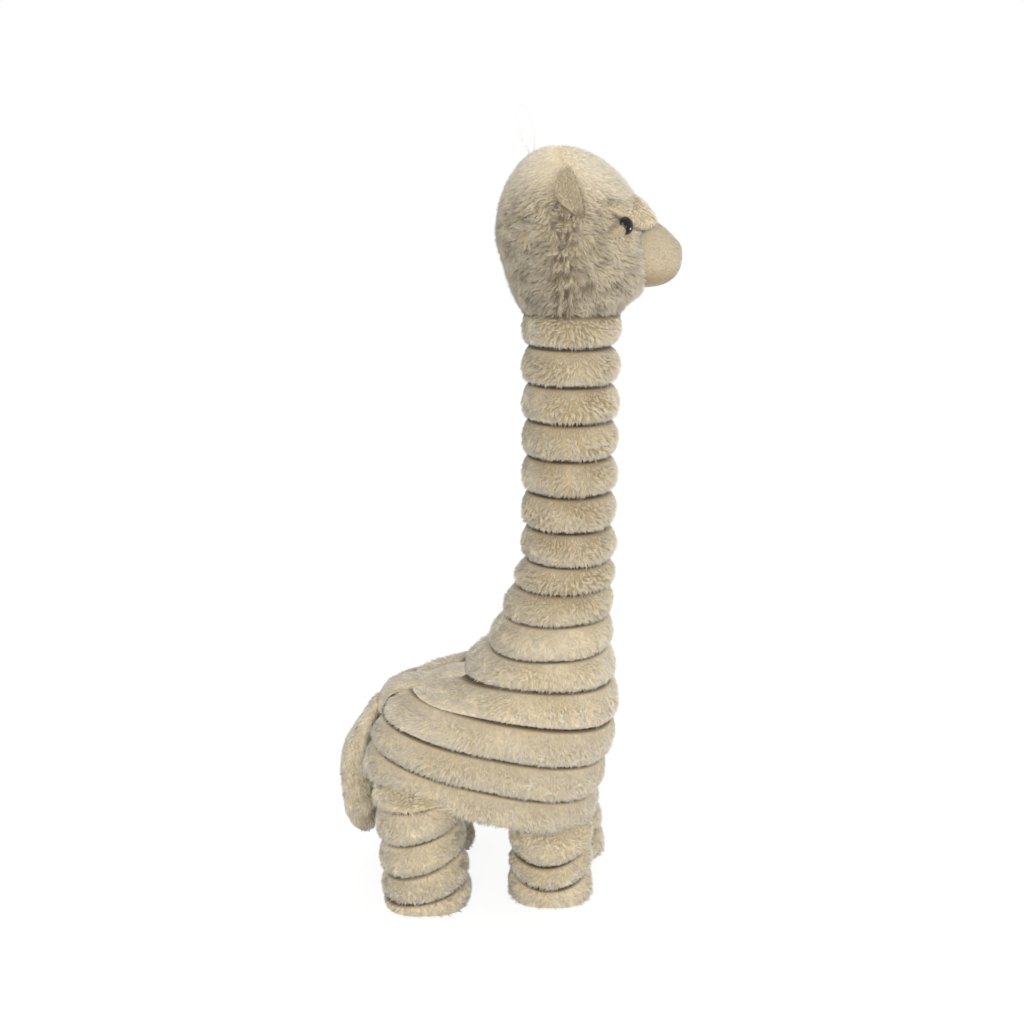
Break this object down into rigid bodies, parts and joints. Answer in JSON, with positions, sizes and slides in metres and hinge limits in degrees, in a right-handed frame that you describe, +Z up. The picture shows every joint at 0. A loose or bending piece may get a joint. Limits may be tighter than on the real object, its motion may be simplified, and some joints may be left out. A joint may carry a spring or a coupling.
{
  "type": "plush llama",
  "caption": "Standing stuffed llama with a long ringed neck that bends and sways, a turning head, folding ears, a lifting tail and short swinging legs.",
  "frame": {"origin": "on the floor, under the middle of the llama's box without its hanging loop", "axes": "+X the way it faces, +Y its left side, +Z up"},
  "size_m": [0.2762, 0.1582, 0.6304],
  "materials": {
    "plush": "long soft pile, warm cream",
    "pale_plush": "shorter pile, pale cream",
    "velour": "short smooth pile",
    "fibre_filling": "loose white fibre",
    "eye_black": "polished",
    "washer_plastic": "moulded",
    "thread": "smooth white thread"
  },
  "bodies": {
    "body": {"body_ring_1": "plush", "body_ring_2": "plush", "body_ring_3": "plush", "body_ring_4": "plush", "body_ring_5": "plush", "body_ring_6": "plush", "body_filling": "fibre_filling", "spine_strip": "plush", "belly_panel": "plush"},
    "neck_9": {"neck_ring_9": "plush", "neck_filling_9": "fibre_filling"},
    "neck_8": {"neck_ring_8": "plush", "neck_filling_8": "fibre_filling"},
    "neck_7": {"neck_ring_7": "plush", "neck_filling_7": "fibre_filling"},
    "neck_6": {"neck_ring_6": "plush", "neck_filling_6": "fibre_filling"},
    "neck_5": {"neck_ring_5": "plush", "neck_filling_5": "fibre_filling"},
    "neck_4": {"neck_ring_4": "plush", "neck_filling_4": "fibre_filling"},
    "neck_3": {"neck_ring_3": "plush", "neck_filling_3": "fibre_filling"},
    "neck_2": {"neck_ring_2": "plush", "neck_filling_2": "fibre_filling"},
    "neck_1": {"neck_ring_1": "plush", "neck_filling_1": "fibre_filling"},
    "head": {"head_back": "plush", "head_face": "plush", "head_filling": "fibre_filling", "muzzle": "velour", "muzzle_filling": "fibre_filling", "brow_pad": "pale_plush", "eye_right": "eye_black", "eye_left": "eye_black", "eye_washer_right": "washer_plastic", "eye_washer_left": "washer_plastic", "hang_loop": "thread"},
    "ear_right": {"ear_lining_right": "velour", "ear_outer_right": "plush"},
    "ear_left": {"ear_lining_left": "velour", "ear_outer_left": "plush"},
    "tail": {"tail": "plush"},
    "leg_rear_right": {"leg_rear_right_cover": "plush", "leg_rear_right_filling": "fibre_filling", "leg_rear_right_sole": "velour"},
    "leg_rear_left": {"leg_rear_left_cover": "plush", "leg_rear_left_filling": "fibre_filling", "leg_rear_left_sole": "velour"},
    "leg_front_right": {"leg_front_right_cover": "plush", "leg_front_right_filling": "fibre_filling", "leg_front_right_sole": "velour"},
    "leg_front_left": {"leg_front_left_cover": "plush", "leg_front_left_filling": "fibre_filling", "leg_front_left_sole": "velour"}
  },
  "joints": [
    {"name": "neck_bend", "type": "hinge", "parent": "body", "child": "neck_9", "pos_m": [0.04505, 0, 0.23608], "axis": [0, 1, 0], "range_deg": [-5, 5], "stiffness_Nm_per_rad": 2},
    {"name": "neck_sway", "type": "hinge", "parent": "neck_9", "child": "neck_8", "pos_m": [0.05024, 0, 0.26155], "axis": [1, 0, 0], "range_deg": [-5, 5], "stiffness_Nm_per_rad": 2},
    {"name": "neck_bend_7", "type": "hinge", "parent": "neck_8", "child": "neck_7", "pos_m": [0.05455, 0, 0.283], "axis": [0, 1, 0], "range_deg": [-5, 5], "stiffness_Nm_per_rad": 2},
    {"name": "neck_sway_6", "type": "hinge", "parent": "neck_7", "child": "neck_6", "pos_m": [0.05455, 0, 0.3116], "axis": [1, 0, 0], "range_deg": [-5, 5], "stiffness_Nm_per_rad": 2},
    {"name": "neck_bend_5", "type": "hinge", "parent": "neck_6", "child": "neck_5", "pos_m": [0.05455, 0, 0.3402], "axis": [0, 1, 0], "range_deg": [-5, 5], "stiffness_Nm_per_rad": 2},
    {"name": "neck_sway_4", "type": "hinge", "parent": "neck_5", "child": "neck_4", "pos_m": [0.05455, 0, 0.3688], "axis": [1, 0, 0], "range_deg": [-5, 5], "stiffness_Nm_per_rad": 2},
    {"name": "neck_bend_3", "type": "hinge", "parent": "neck_4", "child": "neck_3", "pos_m": [0.05455, 0, 0.3974], "axis": [0, 1, 0], "range_deg": [-5, 5], "stiffness_Nm_per_rad": 2},
    {"name": "neck_sway_2", "type": "hinge", "parent": "neck_3", "child": "neck_2", "pos_m": [0.05455, 0, 0.426], "axis": [1, 0, 0], "range_deg": [-5, 5], "stiffness_Nm_per_rad": 2},
    {"name": "neck_bend_1", "type": "hinge", "parent": "neck_2", "child": "neck_1", "pos_m": [0.05455, 0, 0.4546], "axis": [0, 1, 0], "range_deg": [-5, 5], "stiffness_Nm_per_rad": 2},
    {"name": "head_turn", "type": "hinge", "parent": "neck_1", "child": "head", "pos_m": [0.05455, 0, 0.4832], "axis": [0, 0, 1], "range_deg": [-40, 40], "stiffness_Nm_per_rad": 0.5},
    {"name": "ear_right_fold", "type": "hinge", "parent": "head", "child": "ear_right", "pos_m": [0.05215, -0.05557, 0.5495], "axis": [1, 0, 0], "range_deg": [-12, 60], "stiffness_Nm_per_rad": 0.005},
    {"name": "ear_left_fold", "type": "hinge", "parent": "head", "child": "ear_left", "pos_m": [0.05215, 0.05557, 0.5495], "axis": [-1, 0, 0], "range_deg": [-12, 60], "stiffness_Nm_per_rad": 0.005},
    {"name": "tail_lift", "type": "hinge", "parent": "body", "child": "tail", "pos_m": [-0.1098, 0, 0.16037], "axis": [0, 1, 0], "range_deg": [0, 70]},
    {"name": "leg_rear_right_swing", "type": "hinge", "parent": "body", "child": "leg_rear_right", "pos_m": [-0.06845, -0.044, 0.08958], "axis": [0, 1, 0], "range_deg": [-8, 8], "stiffness_Nm_per_rad": 2},
    {"name": "leg_rear_left_swing", "type": "hinge", "parent": "body", "child": "leg_rear_left", "pos_m": [-0.06845, 0.044, 0.08958], "axis": [0, 1, 0], "range_deg": [-8, 8], "stiffness_Nm_per_rad": 2},
    {"name": "leg_front_right_swing", "type": "hinge", "parent": "body", "child": "leg_front_right", "pos_m": [0.04155, -0.0345, 0.06857], "axis": [0, 1, 0], "range_deg": [-8, 8], "stiffness_Nm_per_rad": 2},
    {"name": "leg_front_left_swing", "type": "hinge", "parent": "body", "child": "leg_front_left", "pos_m": [0.04855, 0.0345, 0.06724], "axis": [0, 1, 0], "range_deg": [-8, 8], "stiffness_Nm_per_rad": 2}
  ],
  "couplings": [
    {"joint": "neck_bend_7", "follows": "neck_bend", "ratio": 1},
    {"joint": "neck_sway_6", "follows": "neck_sway", "ratio": 1},
    {"joint": "neck_bend_5", "follows": "neck_bend", "ratio": 1},
    {"joint": "neck_sway_4", "follows": "neck_sway", "ratio": 1},
    {"joint": "neck_bend_3", "follows": "neck_bend", "ratio": 1},
    {"joint": "neck_sway_2", "follows": "neck_sway", "ratio": 1},
    {"joint": "neck_bend_1", "follows": "neck_bend", "ratio": 1}
  ]
}
